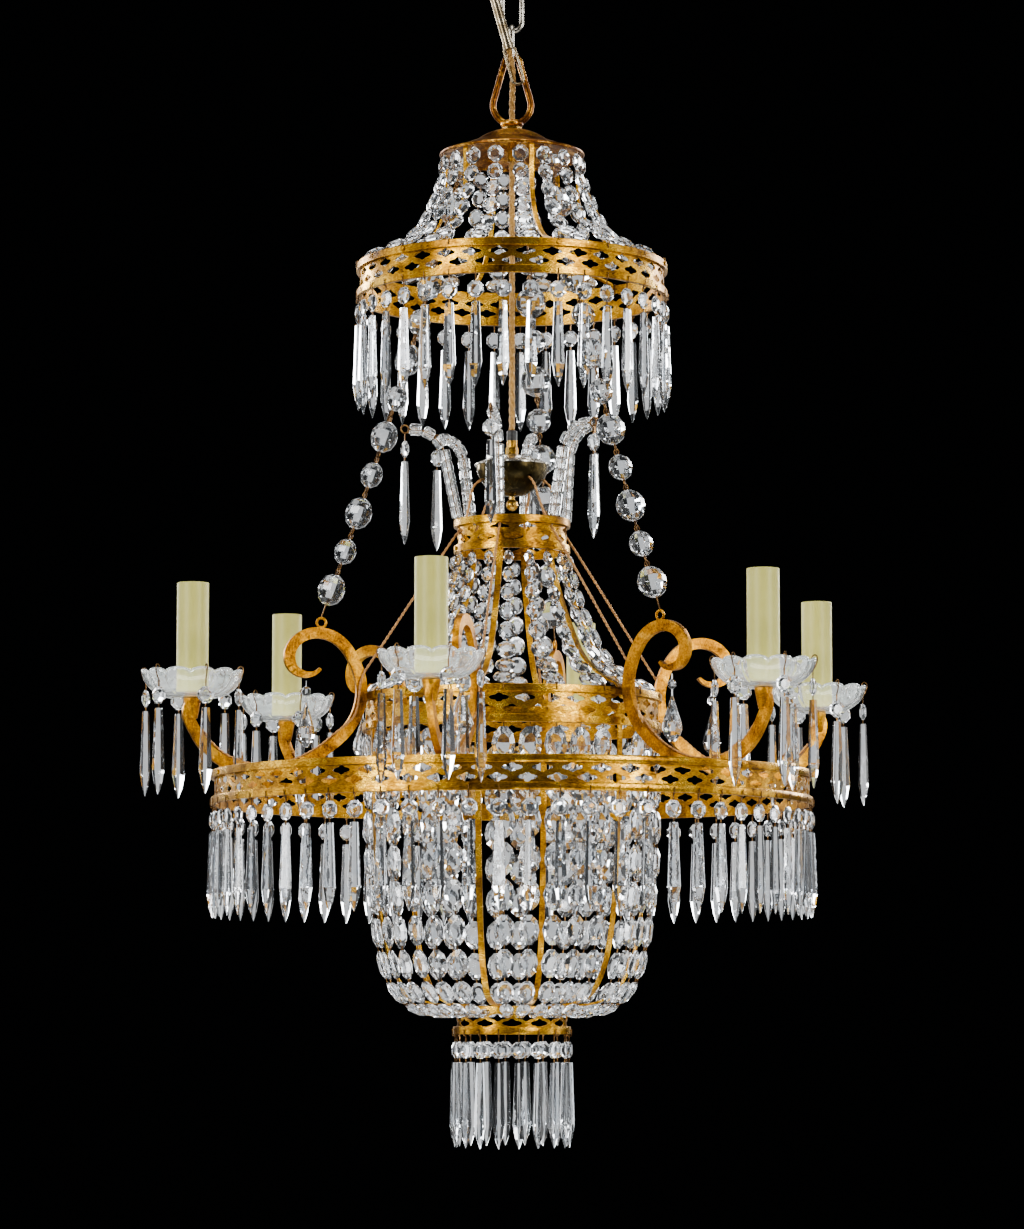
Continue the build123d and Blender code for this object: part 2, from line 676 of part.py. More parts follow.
bowl_floor = BOWL_TOP - BOWL_HEIGHT
with BuildPart() as junction_bowl:
    with BuildSketch(Plane.XZ):
        with BuildLine():
            wall = SHEET
            EllipticalCenterArc((0, BOWL_TOP), BOWL_RADIUS, BOWL_HEIGHT, -90, arc_size=90)
            EllipticalCenterArc((0, BOWL_TOP), BOWL_RADIUS - wall, BOWL_HEIGHT - wall, -90,
                                arc_size=90)
            Line((0, bowl_floor), (0, bowl_floor + wall))
            Line((BOWL_RADIUS - wall, BOWL_TOP), (BOWL_RADIUS, BOWL_TOP))
        make_face()
    revolve(axis=Axis.Z)
    with BuildSketch(Plane.XY.offset(bowl_floor - wall)):
        Circle(ROD_RADIUS + SEAT_GAP)
    extrude(amount=3 * wall, mode=Mode.SUBTRACT)
    for azimuth in ARM_AZIMUTHS:
        around = azimuth + BOWL_HOLE_TURN
        a = radians(around)
        mouth = polar(0, around, BOWL_TOP - BOWL_HOLE_BELOW)
        with BuildSketch(Plane(origin=mouth, z_dir=(cos(a), sin(a), 0))):
            Circle(BOWL_HOLE / 2)
        extrude(amount=BOWL_RADIUS, mode=Mode.SUBTRACT)
save("junction_bowl", [junction_bowl.part])

cover_top = BOWL_TOP + COVER_HEIGHT
with BuildPart() as junction_cover:
    with BuildSketch(Plane.XZ):
        with BuildLine():
            rim = BOWL_TOP + SEAT_GAP
            hole = ROD_RADIUS + SEAT_GAP
            Polyline((hole, cover_top - SHEET), (hole, cover_top))
            ThreePointArc((hole, cover_top), (COVER_RADIUS * 0.6, cover_top - COVER_HEIGHT * 0.36),
                          (COVER_RADIUS, rim + SHEET))
            Polyline((COVER_RADIUS, rim + SHEET), (COVER_RADIUS, rim),
                     (BOWL_RADIUS - SHEET, rim))
            ThreePointArc((BOWL_RADIUS - SHEET, rim),
                          (BOWL_RADIUS * 0.55, cover_top - COVER_HEIGHT * 0.36 - SHEET),
                          (hole, cover_top - SHEET))
        make_face()
    revolve(axis=Axis.Z)
save("junction_cover", [junction_cover.part])

with BuildPart() as cord_bush:
    with BuildSketch(Plane.XY.offset(cover_top + SEAT_GAP)):
        RegularPolygon(BUSH_RADIUS, 6)
    extrude(amount=BUSH_HEIGHT / 2)
    with BuildSketch(Plane.XY.offset(cover_top + BUSH_HEIGHT / 2)):
        Circle(BUSH_RADIUS * 0.8)
    extrude(amount=BUSH_HEIGHT / 2 - SEAT_GAP)
save("cord_bush", [cord_bush.part])

with BuildPart() as cord_clamp:
    with BuildSketch(Plane.XY.offset(cover_top + BUSH_HEIGHT)):
        Circle(CLAMP_RADIUS)
    extrude(amount=CLAMP_HEIGHT)
    chamfer(cord_clamp.edges().group_by(Axis.Z)[-1], CLAMP_RADIUS / 5)
save("cord_clamp", [cord_clamp.part])

finial_top = bowl_floor - SEAT_GAP
with BuildPart() as bowl_rod:
    with BuildSketch(Plane.XY.offset(finial_top + SEAT_GAP / 2)):
        Circle(ROD_RADIUS)
    extrude(amount=cover_top - finial_top)
save("bowl_rod", [bowl_rod.part])

with BuildPart() as bowl_finial:
    with BuildSketch(Plane.XZ):
        with BuildLine():
            radius = FINIAL_DIAMETER / 2
            centre = finial_top - 2 - radius
            arc = ThreePointArc((0, centre - radius), (radius, centre),
                                (radius * 0.5, centre + radius * 0.866))
            Polyline(arc @ 1, (radius * 0.5, finial_top), (0, finial_top), arc @ 0)
        make_face()
    revolve(axis=Axis.Z)
save("bowl_finial", [bowl_finial.part])

block_length, block_width, block_height = TERMINAL_BLOCK
with BuildPart() as terminal_block:
    with BuildSketch(Plane.XY.offset(BOWL_TOP - block_height / 2)):
        Rectangle(block_length, block_width)
        Circle(ROD_RADIUS + SEAT_GAP, mode=Mode.SUBTRACT)
    extrude(amount=-block_height)
    fillet(terminal_block.edges().filter_by(Axis.Z).filter_by(GeomType.LINE).group_by(
        lambda e: round(abs(e.center().X)))[-1], block_height / 8)
save("terminal_block", [terminal_block.part])

# ---- Plumes of glass tubes on the crown ring ------------------------------------------------------

with BuildPart() as glass_tube:
    with BuildSketch():
        RegularPolygon(TUBE_DIAMETER / 2, 8)
        Circle(TUBE_BORE / 2, mode=Mode.SUBTRACT)
    extrude(amount=TUBE_LENGTH)

tubes, plume_wires, plume_tips = [], [], []
for azimuth, lean, curl in zip(ARM_AZIMUTHS, PLUME_LEANS, PLUME_CURLS):
    headings = [lean] * STRAIGHT_TUBES
    headings += [lean + curl * (k + 1) / CURLED_TUBES for k in range(CURLED_TUBES)]
    lift = SEAT_GAP + HOOP_THICKNESS / 2 * tan(radians(lean))
    corner = Vector(hoop_middle(CROWN_RING), ring_top(CROWN_RING) + lift)
    route = [corner]
    turns = [0.0] + [radians(b - a) for a, b in zip(headings, headings[1:])] + [0.0]
    for heading, before, after in zip(headings, turns, turns[1:]):
        way = Vector(sin(radians(heading)), cos(radians(heading)))
        entry = TUBE_DIAMETER / 2 * tan(before / 2) + TUBE_GAP / 2
        leave = TUBE_DIAMETER / 2 * tan(after / 2) + TUBE_GAP / 2
        foot = corner + way * entry
        spot = radial_plane(azimuth)
        tubes.append(glass_tube.part.moved(
            Location(Plane(origin=spot.from_local_coords((foot.X, foot.Y, 0)),
                           x_dir=spot.z_dir,
                           z_dir=spot.from_local_coords((way.X, way.Y, 0))))))
        corner = foot + way * (TUBE_LENGTH + leave)
        if after > 0:
            route.append(corner)
    route.append(corner + way)
    eye = route[-1] + way * PLUME_EYE
    bends = [spot.from_local_coords((p.X, p.Y, 0)) for p in route]
    with BuildPart() as plume_wire:
        with BuildLine() as wire_path:
            FilletPolyline(*bends, radius=corner_radii(bends))
        start = wire_path.wire()
        with BuildSketch(Plane(origin=start @ 0, z_dir=start % 0)):
            Circle(PLUME_WIRE / 2)
        sweep(path=start)
        with Locations(Location(Plane(origin=spot.from_local_coords((eye.X, eye.Y, 0)),
                                      z_dir=spot.z_dir))):
            Torus(PLUME_EYE, PLUME_WIRE / 2)
    plume_wires.append(plume_wire.part)
    plume_tips.append((eye.X, azimuth, eye.Y - PLUME_EYE - PLUME_WIRE / 2))
save("plume_tubes", tubes)
save("plume_wires", plume_wires)

plume_crystals = []
for radius, azimuth, seat in plume_tips:
    crystals, hooks = pendants(radius, seat, [azimuth])
    plume_crystals += crystals
    wires += hooks
save("plume_pendants", plume_crystals)

# ---- Arms ------------------------------------------------------------------------------------------

bar_half = BAR_WIDTH / 2
ring_contact = (MID_RING[0] + bar_half + 2 * SEAT_GAP, ring_top(MID_RING) + 1.0)
ring_rest = (hoop_middle(LARGE_RING), ring_top(LARGE_RING) + REST_HEIGHT)
cup_entry = (CANDLE_CIRCLE + 1.0, CUP_TOP - 4.0)
arm_route = [(ring_contact[0] + r, ring_contact[1] + z) for r, z in SCROLL]
arm_route += between(ring_contact, ring_rest,
                     [(0.045, 0.383), (0.127, 0.615), (0.232, 0.80), (0.411, 1.022),
                      (0.63, 1.142), (0.841, 1.118)])
arm_route += between(ring_rest, cup_entry, [(0.57, 0.254), (0.92, 0.556), (1.10, 0.80)])[1:]
with BuildLine() as arm_line:
    Spline(*arm_route)
arm_curve = arm_line.wire()


def beside_arm(share, offset):
    """A point of the radial plane beside the bar's centre line."""
    way = arm_curve % share
    spot = arm_curve @ share
    return (spot.X - way.Y * offset, spot.Y + way.X * offset)


OUTLINE_POINTS = 44
shares = [k / OUTLINE_POINTS for k in range(OUTLINE_POINTS + 1)]
halves = [min(BAR_WIDTH, BAR_TIP_WIDTH + (BAR_WIDTH - BAR_TIP_WIDTH)
              * share * arm_curve.length / BAR_TAPER) / 2 for share in shares]
with BuildPart() as arm:
    with BuildSketch(radial_plane(0)):
        with BuildLine():
            inner_side = [beside_arm(s, h) for s, h in zip(shares, halves)]
            outer_side = [beside_arm(s, -h) for s, h in zip(shares, halves)]
            Spline(*inner_side)
            Spline(*outer_side)
            Line(inner_side[0], outer_side[0])
            Line(inner_side[-1], outer_side[-1])
        make_face()
    extrude(amount=BAR_THICKNESS / 2, both=True)
    with Locations((CANDLE_CIRCLE, 0, CUP_TOP - CUP_HEIGHT / 2)):
        Cone(CUP_FOOT_RADIUS, CUP_RADIUS, CUP_HEIGHT)

scroll_crest = (ring_contact[0] + SCROLL[5][0] - 2.0, ring_contact[1] + SCROLL[5][1])
eyelet_height = scroll_crest[1] + bar_half + EYELET_RADIUS
with BuildPart() as chain_arm:
    add(arm.part)
    with Locations(Location((scroll_crest[0], 0, eyelet_height), (90, 0, 0))):
        Torus(EYELET_RADIUS, EYELET_WIRE / 2)
arms = []
for azimuth in ARM_AZIMUTHS:
    shape = chain_arm.part if azimuth in CHAIN_AZIMUTHS else arm.part
    arms.append(shape.moved(turned(azimuth)))
save("arms", arms)

# ---- Drip pans, lampholders and candle sleeves -----------------------------------------------------

candles = [Location(polar(CANDLE_CIRCLE, a, CUP_TOP + SEAT_GAP), (0, 0, a))
           for a in ARM_AZIMUTHS]

with BuildPart() as drip_pan:
    with BuildSketch(Plane.XZ):
        with BuildLine():
            hole = STEM_RADIUS + SEAT_GAP
            rim = PAN_RADIUS - PAN_WALL
            outer = ThreePointArc((PAN_FLOOR, 0), (PAN_RADIUS * 0.8, PAN_DEPTH * 0.38),
                                  (PAN_RADIUS, PAN_DEPTH))
            inner = ThreePointArc((PAN_FLOOR - PAN_WALL / 3, PAN_WALL),
                                  (PAN_RADIUS * 0.8 - PAN_WALL * 0.8, PAN_DEPTH * 0.38 + PAN_WALL / 2),
                                  (rim, PAN_DEPTH))
            Line(outer @ 1, inner @ 1)
            Polyline(outer @ 0, (hole, 0), (hole, PAN_WALL), inner @ 0)
        make_face()
    revolve(axis=Axis.Z)
    for k in range(PAN_SCALLOPS):
        a = 2 * pi * (k + 0.5) / PAN_SCALLOPS
        with BuildSketch(Plane(origin=(0, 0, PAN_DEPTH + SCALLOP_NOTCH * 0.3),
                               z_dir=(cos(a), sin(a), 0))):
            Circle(SCALLOP_NOTCH)
        extrude(amount=PAN_RADIUS * 1.1, mode=Mode.SUBTRACT)
save("drip_pans", placed([drip_pan.part], candles))

pan_hole = outer @ PAN_HOLE_AT
pan_crystals, hooks = pendants(pan_hole.X + WIRE / 2 + SEAT_GAP, pan_hole.Y,
                               evenly(PAN_PENDANTS, PAN_PENDANT_TURN))
save("pan_pendants", placed(pan_crystals, candles))
wires += placed(hooks, candles)

sleeve_foot = PAN_WALL + SEAT_GAP
holder_top = sleeve_foot + SLEEVE_LENGTH - SLEEVE_ABOVE_HOLDER
holder_foot = holder_top - HOLDER_LENGTH
with BuildPart() as lamp_stem:
    with BuildSketch():
        Circle(STEM_RADIUS)
        Circle(STEM_BORE, mode=Mode.SUBTRACT)
    extrude(amount=holder_foot - SEAT_GAP)
save("lamp_stems", placed([lamp_stem.part], candles))

with BuildPart() as lampholder:
    with BuildSketch(Plane.XY.offset(holder_foot)):
        Circle(HOLDER_RADIUS)
    extrude(amount=HOLDER_LENGTH)
    with Locations((0, 0, holder_top)):
        CounterBoreHole(STEM_BORE, HOLDER_BORE, HOLDER_BORE_DEPTH)
save("lampholders", placed([lampholder.part], candles))

with BuildPart() as candle_sleeve:
    with BuildSketch(Plane.XY.offset(sleeve_foot)):
        Circle(SLEEVE_RADIUS)
        Circle(SLEEVE_RADIUS - SLEEVE_WALL, mode=Mode.SUBTRACT)
    extrude(amount=SLEEVE_LENGTH)
for number, candle in enumerate(candles, start=1):
    save(f"candle_sleeve_{number}", placed([candle_sleeve.part], [candle]))

# ---- Teardrops under the scrolls --------------------------------------------------------------------

scroll_low = (ring_contact[0] + SCROLL[1][0], ring_contact[1] + SCROLL[1][1])
tear_top = scroll_low[1] - BAR_WIDTH / 2 - RUNNING_GAP
half_ball = TEAR_BALL / 2
tear_ball = turned_crystal([(h * half_ball, w * TEAR_BALL, w * TEAR_BALL)
                            for h, w in ((-0.95, 0.4), (-0.45, 0.9), (0.45, 0.9), (0.95, 0.4))],
                           8)
tear_drop = turned_crystal([(-TEAR_LENGTH * z, TEAR_WIDTH * w, TEAR_THICKNESS * w)
                            for z, w in ((0.0, 0.12), (0.34, 0.58), (0.58, 0.93), (0.72, 1.0),
                                         (0.87, 0.78), (1.0, 0.30))], 8)
ball_centre = tear_top - TEAR_HOOK - half_ball * 0.95
link_top = ball_centre - half_ball * 0.95


def hung(shape, height, azimuth):
    return shape.moved(facing(polar(scroll_low[0], azimuth, height), (0, 0, 1), azimuth))


for number, azimuth in enumerate(ARM_AZIMUTHS, start=1):
    save(f"teardrop_{number}", [
        hung(wire_pin(TEAR_HOOK), tear_top - TEAR_HOOK / 2, azimuth),
        hung(tear_ball, ball_centre, azimuth),
        hung(wire_pin(TEAR_LINK), link_top - TEAR_LINK / 2, azimuth),
        hung(tear_drop, link_top - TEAR_LINK, azimuth)])

# ---- Bead chains from the scrolls up to the canopy -----------------------------------------------------


def bead(diameter):
    cuts = ((-0.96, 0.36), (-0.68, 0.78), (-0.22, 1.0), (0.22, 1.0), (0.68, 0.78), (0.96, 0.36))
    stations = [(z * diameter / 2, w * diameter, w * diameter * BEAD_FLATNESS) for z, w in cuts]
    return turned_crystal(stations, 10)


brim_share = (CHAIN_TOP_RADIUS - DOME_RADIUS) / (lip_radius - DOME_RADIUS)
brim_fall = LIP_HEIGHT - BRIM_TOP + 1.1 * SHEET
canopy_underside = BRIM_TOP - 1.6 * SHEET - WIRE / 4 + brim_share * brim_fall
chain_foot = (scroll_crest[0], eyelet_height + EYELET_RADIUS + EYELET_WIRE / 2)
chain_head = (CHAIN_TOP_RADIUS, canopy_underside)
chain_middle = ((chain_foot[0] + chain_head[0]) / 2 - CHAIN_SAG,
                (chain_foot[1] + chain_head[1]) / 2)
large_bead, small_bead = bead(BEAD_LARGE), bead(BEAD_SMALL)
bead_cuts = [(BEAD_LARGE * 0.96, large_bead) if k % 2 == 0 else (BEAD_SMALL * 0.96, small_bead)
             for k in range(BEADS)]
chain_crystals, chain_wires = strand([chain_foot, chain_middle, chain_head], bead_cuts)
chain_turns = [turned(a) for a in CHAIN_AZIMUTHS]
save("chain_beads", placed(chain_crystals, chain_turns))
wires += placed(chain_wires, chain_turns)
save("crystal_wires", wires)

# ---- Lamp wires: from the bowl through the crown ring and along the arms ----------------------------------

side = BAR_THICKNESS / 2 + LAMP_WIRE / 2 + 2 * SEAT_GAP
edge = BAR_WIDTH / 2 + LAMP_WIRE / 2 + 6 * SEAT_GAP
crown_opening = ring_top(CROWN_RING) - HOOP_HEIGHT - (CROWN_RING[2] - 2 * HOOP_HEIGHT) / 4


def around(radius, turn, height):
    """Radius, sideways offset and height of a point turned about the axis."""
    return (radius * cos(radians(turn)), radius * sin(radians(turn)), height)


lamp_route = [
    around(BOWL_RADIUS - 5.0, BOWL_HOLE_TURN, BOWL_TOP - BOWL_HOLE_BELOW),
    around(BOWL_RADIUS + 3.5, BOWL_HOLE_TURN, BOWL_TOP - BOWL_HOLE_BELOW - 4.0),
    around(BOWL_RADIUS + 6.5, BOWL_HOLE_TURN * 0.5, BOWL_TOP - BOWL_HEIGHT - 8.0),
    (CROWN_RING[0] - 7.5, 0, crown_opening + 5.5),
    (CROWN_RING[0] + 2.0, 0, crown_opening - 5.5),
    (ring_contact[0] - 7.0, side, ring_top(MID_RING) + 25.0),
    (ring_contact[0] + 2.0, side, ring_top(MID_RING) + 12.0),
]
# along the bar: its share of the arm, sideways offset and distance from its centre line
for share, sideways, offset in ((0.42, side, 0.5 * bar_half), (0.455, side + 0.6, bar_half + 0.5),
                                (0.487, 0.75 * side, edge + 1.0), (0.525, 0, edge),
                                (0.58, 0, edge), (0.65, 0, edge), (0.72, 0, edge),
                                (0.79, 0, edge), (0.86, 0, edge), (0.92, 0, edge)):
    r, z = beside_arm(share, offset)
    lamp_route.append((r, sideways, z))
lamp_radii = corner_radii(lamp_route)
print("lamp wire radii:", [round(r, 1) for r in lamp_radii])
with BuildPart() as lamp_wire:
    with BuildLine() as lamp_path:
        FilletPolyline(*lamp_route, radius=lamp_radii)
    lamp_line = lamp_path.wire()
    with BuildSketch(Plane(origin=lamp_line @ 0, z_dir=lamp_line % 0)):
        Circle(LAMP_WIRE / 2)
    sweep(path=lamp_line)
lamp_section = pi * (LAMP_WIRE / 2) ** 2
print("lamp wire length:", round(lamp_line.length, 1),
      "volume ratio:", round(lamp_wire.part.volume / (lamp_section * lamp_line.length), 4))
save("lamp_wires", placed([lamp_wire.part], [turned(a) for a in ARM_AZIMUTHS]))

# ---- Rivets that fix the ribs and arms to the hoops ---------------------------------------------------------

with BuildPart() as rivet:
    with BuildSketch():
        Circle(RIVET_RADIUS)
    extrude(amount=RIVET_HEIGHT)
    fillet(rivet.edges().group_by(Axis.Z)[-1], RIVET_HEIGHT / 2)
riveted = [(UPPER_RING, ring_top(UPPER_RING) - HOOP_HEIGHT / 2, CAGE_AZIMUTHS),
           (CROWN_RING, ring_bottom(CROWN_RING) + HOOP_HEIGHT / 2, ARM_AZIMUTHS),
           (MID_RING, ring_bottom(MID_RING) + HOOP_HEIGHT / 2, ARM_AZIMUTHS),
           (LARGE_RING, ring_top(LARGE_RING) - HOOP_HEIGHT / 2, ARM_AZIMUTHS)]
rivets = []
for ring, height, azimuths in riveted:
    for azimuth in azimuths:
        spot = polar(ring[0] + SEAT_GAP, azimuth, height)
        rivets.append(rivet.part.moved(Location(Plane(origin=spot, z_dir=polar(1, azimuth, 0)))))
save("rivets", rivets)
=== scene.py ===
"""Crystal chandelier: materials, finer pieces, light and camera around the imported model."""

import math

import bmesh
import bpy
from mathutils import Matrix, Vector


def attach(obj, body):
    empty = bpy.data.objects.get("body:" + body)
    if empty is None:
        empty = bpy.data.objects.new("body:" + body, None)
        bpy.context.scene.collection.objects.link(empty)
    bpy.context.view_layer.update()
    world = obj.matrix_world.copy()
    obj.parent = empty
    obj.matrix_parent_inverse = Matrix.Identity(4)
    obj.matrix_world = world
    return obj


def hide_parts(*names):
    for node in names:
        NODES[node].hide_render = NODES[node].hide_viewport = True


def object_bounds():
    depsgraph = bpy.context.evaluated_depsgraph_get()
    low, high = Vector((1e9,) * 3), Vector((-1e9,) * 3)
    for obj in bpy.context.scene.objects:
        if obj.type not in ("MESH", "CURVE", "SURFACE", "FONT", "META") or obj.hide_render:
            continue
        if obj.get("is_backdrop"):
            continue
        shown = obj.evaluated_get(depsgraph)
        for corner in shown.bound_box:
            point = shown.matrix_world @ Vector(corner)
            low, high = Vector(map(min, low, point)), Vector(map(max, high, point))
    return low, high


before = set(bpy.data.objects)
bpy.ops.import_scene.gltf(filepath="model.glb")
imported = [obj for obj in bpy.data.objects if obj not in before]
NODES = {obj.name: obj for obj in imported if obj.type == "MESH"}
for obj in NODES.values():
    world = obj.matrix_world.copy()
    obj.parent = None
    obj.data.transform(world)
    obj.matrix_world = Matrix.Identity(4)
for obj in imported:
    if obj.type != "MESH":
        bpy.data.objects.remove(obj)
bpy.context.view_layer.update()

MM = 0.001
EYE = -0.912                        # height of the camera's eye line in the row frame
ARMS = 6
FIRST_ARM = -103.2
ARM_AZIMUTHS = [FIRST_ARM + 60 * k for k in range(ARMS)]
CANDLE_CIRCLE = 282 * MM
CUP_TOP = (266 - 912 + 0.05) * MM
HOOP_THICKNESS = 3 * MM
# outer radius, top and height of the pierced rings
UPPER_RING = (135.7 * MM, -0.261, 0.030)
MID_RING = (129.6 * MM, -0.637, 0.032)
LARGE_RING = (259.0 * MM, -0.704, 0.029)
BOTTOM_RING = (50.5 * MM, -0.9044, 0.024)


# ---- Small helpers ---------------------------------------------------------------

def polar(radius, azimuth, height):
    a = math.radians(azimuth)
    return Vector((radius * math.cos(a), radius * math.sin(a), height))


def mesh_object(name, vertices, faces, smooth=False):
    mesh = bpy.data.meshes.new(name)
    mesh.from_pydata([tuple(v) for v in vertices], [], faces)
    mesh.update()
    if smooth:
        mesh.polygons.foreach_set("use_smooth", [True] * len(mesh.polygons))
    piece = bpy.data.objects.new(name, mesh)
    bpy.context.scene.collection.objects.link(piece)
    return piece


def paint(piece, material):
    piece.data.materials.clear()
    piece.data.materials.append(material)


def smooth_path(points, order=3, steps=16):
    """Points along a clamped NURBS curve through the given control points."""
    curve = bpy.data.curves.new("path", "CURVE")
    curve.dimensions = "3D"
    curve.resolution_u = steps
    spline = curve.splines.new("NURBS")
    spline.points.add(len(points) - 1)
    for spot, point in zip(spline.points, points):
        spot.co = (*point, 1)
    spline.order_u = order
    spline.use_endpoint_u = True
    holder = bpy.data.objects.new("path", curve)
    bpy.context.scene.collection.objects.link(holder)
    bpy.context.view_layer.update()
    mesh = bpy.data.meshes.new_from_object(holder)
    found = [v.co.copy() for v in mesh.vertices]
    bpy.data.objects.remove(holder)
    bpy.data.curves.remove(curve)
    bpy.data.meshes.remove(mesh)
    return found


def resampled(points, step):
    """The same line in equal steps."""
    lengths = [0.0]
    for a, b in zip(points, points[1:]):
        lengths.append(lengths[-1] + (b - a).length)
    count = max(2, round(lengths[-1] / step))
    found, k = [], 0
    for n in range(count + 1):
        target = lengths[-1] * n / count
        while k < len(points) - 2 and lengths[k + 1] < target:
            k += 1
        span = lengths[k + 1] - lengths[k]
        found.append(points[k].lerp(points[k + 1], (target - lengths[k]) / span if span else 0))
    return found


def tube(points, radius, sides=8, lobes=0, pitch=1.0, depth=0.0, closed=False):
    """Vertices and faces of a tube along points, with lobes that twist once per pitch."""
    vertices, faces = [], []
    count = len(points)
    way = (points[1] - points[0]).normalized()
    out = way.orthogonal().normalized()
    travelled = 0.0
    for k, point in enumerate(points):
        if closed:
            new_way = (points[(k + 1) % count] - points[k - 1]).normalized()
        else:
            new_way = (points[min(k + 1, count - 1)] - points[max(k - 1, 0)]).normalized()
        out = (out - new_way * out.dot(new_way)).normalized()
        side = new_way.cross(out)
        if k:
            travelled += (point - points[k - 1]).length
        twist = 2 * math.pi * travelled / pitch
        for s in range(sides):
            t = 2 * math.pi * s / sides
            r = radius
            if lobes:
                r *= 1 - depth * (0.5 - 0.5 * math.cos(lobes * (t + twist))) ** 2
            vertices.append(point + out * (r * math.cos(t)) + side * (r * math.sin(t)))
    last = count if closed else count - 1
    for k in range(last):
        for s in range(sides):
            a, b = k * sides + s, k * sides + (s + 1) % sides
            c, d = ((k + 1) % count) * sides + (s + 1) % sides, ((k + 1) % count) * sides + s
            faces.append((a, b, c, d))
    if not closed:
        faces.append(tuple(range(sides - 1, -1, -1)))
        faces.append(tuple((count - 1) * sides + s for s in range(sides)))
    return vertices, faces


def islands(node):
    """Centre and longest measure of each separate solid in a node, in the row frame."""
    shapes = bmesh.new()
    shapes.from_mesh(node.data)
    shapes.transform(node.matrix_world)
    bmesh.ops.remove_doubles(shapes, verts=shapes.verts, dist=1e-5)
    seen, found = set(), []
    for first in shapes.verts:
        if first in seen:
            continue
        seen.add(first)
        group = [first]
        for vertex in group:
            for edge in vertex.link_edges:
                other = edge.other_vert(vertex)
                if other not in seen:
                    seen.add(other)
                    group.append(other)
        centre = sum((v.co for v in group), Vector()) / len(group)
        found.append((centre, 2 * max((v.co - centre).length for v in group)))
    shapes.free()
    return found


class Gathered:
    """Several small shapes gathered into one mesh."""

    def __init__(self):
        self.vertices, self.faces = [], []

    def add(self, shape, matrix=None):
        vertices, faces = shape
        base = len(self.vertices)
        self.vertices += [matrix @ v if matrix else v for v in vertices]
        self.faces += [tuple(base + i for i in face) for face in faces]

    def build(self, name, material, body, smooth=True):
        piece = mesh_object(name, self.vertices, self.faces, smooth)
        paint(piece, material)
        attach(piece, body)
        return piece


# ---- Materials -------------------------------------------------------------------

class Look:
    """A procedural material: a Principled shader and the textures that feed it."""

    def __init__(self, name, coordinates="Object"):
        self.material = bpy.data.materials.new(name)
        self.material.use_nodes = True
        self.tree = self.material.node_tree
        self.shader = self.tree.nodes["Principled BSDF"]
        self.place = self.tree.nodes.new("ShaderNodeTexCoord").outputs[coordinates]

    def node(self, kind, inputs=None, **settings):
        made = self.tree.nodes.new(kind)
        for key, value in settings.items():
            setattr(made, key, value)
        for key, value in (inputs or {}).items():
            self.link(value, made.inputs[key])
        return made

    def link(self, value, socket):
        if isinstance(value, bpy.types.NodeSocket):
            self.tree.links.new(value, socket)
        else:
            socket.default_value = value

    def stretched(self, scale):
        return self.node("ShaderNodeMapping", {"Vector": self.place, "Scale": scale}).outputs[0]

    def noise(self, scale, detail=4.0, rough=0.55, stretch=None, distortion=0.0):
        vector = self.stretched(stretch) if stretch else self.place
        return self.node("ShaderNodeTexNoise", {
            "Vector": vector, "Scale": scale, "Detail": detail, "Roughness": rough,
            "Distortion": distortion}).outputs["Fac"]

    def wave(self, scale, direction, distortion=0.0):
        return self.node("ShaderNodeTexWave", {
            "Vector": self.place, "Scale": scale, "Distortion": distortion,
            "Detail": 2.0}, bands_direction=direction).outputs["Fac"]

    def ramp(self, factor, stops):
        made = self.node("ShaderNodeValToRGB", {"Fac": factor})
        ramp = made.color_ramp
        while len(ramp.elements) < len(stops):
            ramp.elements.new(0.5)
        for element, (place, colour) in zip(ramp.elements, stops):
            element.position = place
            element.color = (*colour, 1)
        return made.outputs["Color"]

    def spread(self, factor, low, high, start=0.3, end=0.7):
        return self.node("ShaderNodeMapRange", {
            "Value": factor, "From Min": start, "From Max": end,
            "To Min": low, "To Max": high}).outputs["Result"]

    def mix(self, factor, one, two):
        made = self.node("ShaderNodeMix", data_type="RGBA")
        self.link(factor, made.inputs[0])
        self.link(one, made.inputs[6])
        self.link(two, made.inputs[7])
        return made.outputs[2]

    def maths(self, operation, one, two):
        return self.node("ShaderNodeMath", {0: one, 1: two}, operation=operation).outputs[0]

    def bump(self, height, strength, distance):
        made = self.node("ShaderNodeBump", {
            "Height": height, "Strength": strength, "Distance": distance})
        self.tree.links.new(made.outputs["Normal"], self.shader.inputs["Normal"])

    def set(self, **values):
        for key, value in values.items():
            self.link(value, self.shader.inputs[key.replace("_", " ")])


def metal(name, dark, middle, light, patch, grain, rough, relief=0.35, stretch=None):
    """Aged metal: patches of three tones, fine grain and uneven gloss."""
    look = Look(name)
    patches = look.noise(patch, 5.0, 0.6, distortion=0.4)
    streaks = look.noise(grain, 3.0, 0.6, stretch)
    blend = look.maths("ADD", look.maths("MULTIPLY", patches, 0.62),
                       look.maths("MULTIPLY", streaks, 0.38))
    look.set(Base_Color=look.ramp(blend, [(0.36, dark), (0.5, middle), (0.62, light)]),
             Roughness=look.spread(blend, rough[1], rough[0]), Metallic=0.9)
    look.bump(streaks, relief, 0.0004)
    return look.material


def clear_glass(name, tint, rough, ripple, ior, body, scale=90):
    """Glass with faint ripples. Its body is the clear share, and the rest is a milky haze."""
    look = Look(name)
    haze = look.noise(scale, 3.0)
    look.set(Base_Color=look.ramp(haze, [(0.35, tint), (0.65, (1.0, 1.0, 1.0))]),
             Roughness=look.spread(haze, rough[0], rough[1]),
             Transmission_Weight=body, IOR=ior)
    look.bump(look.noise(scale * 1.7, 2.0), ripple, 0.0006)
    return look.material


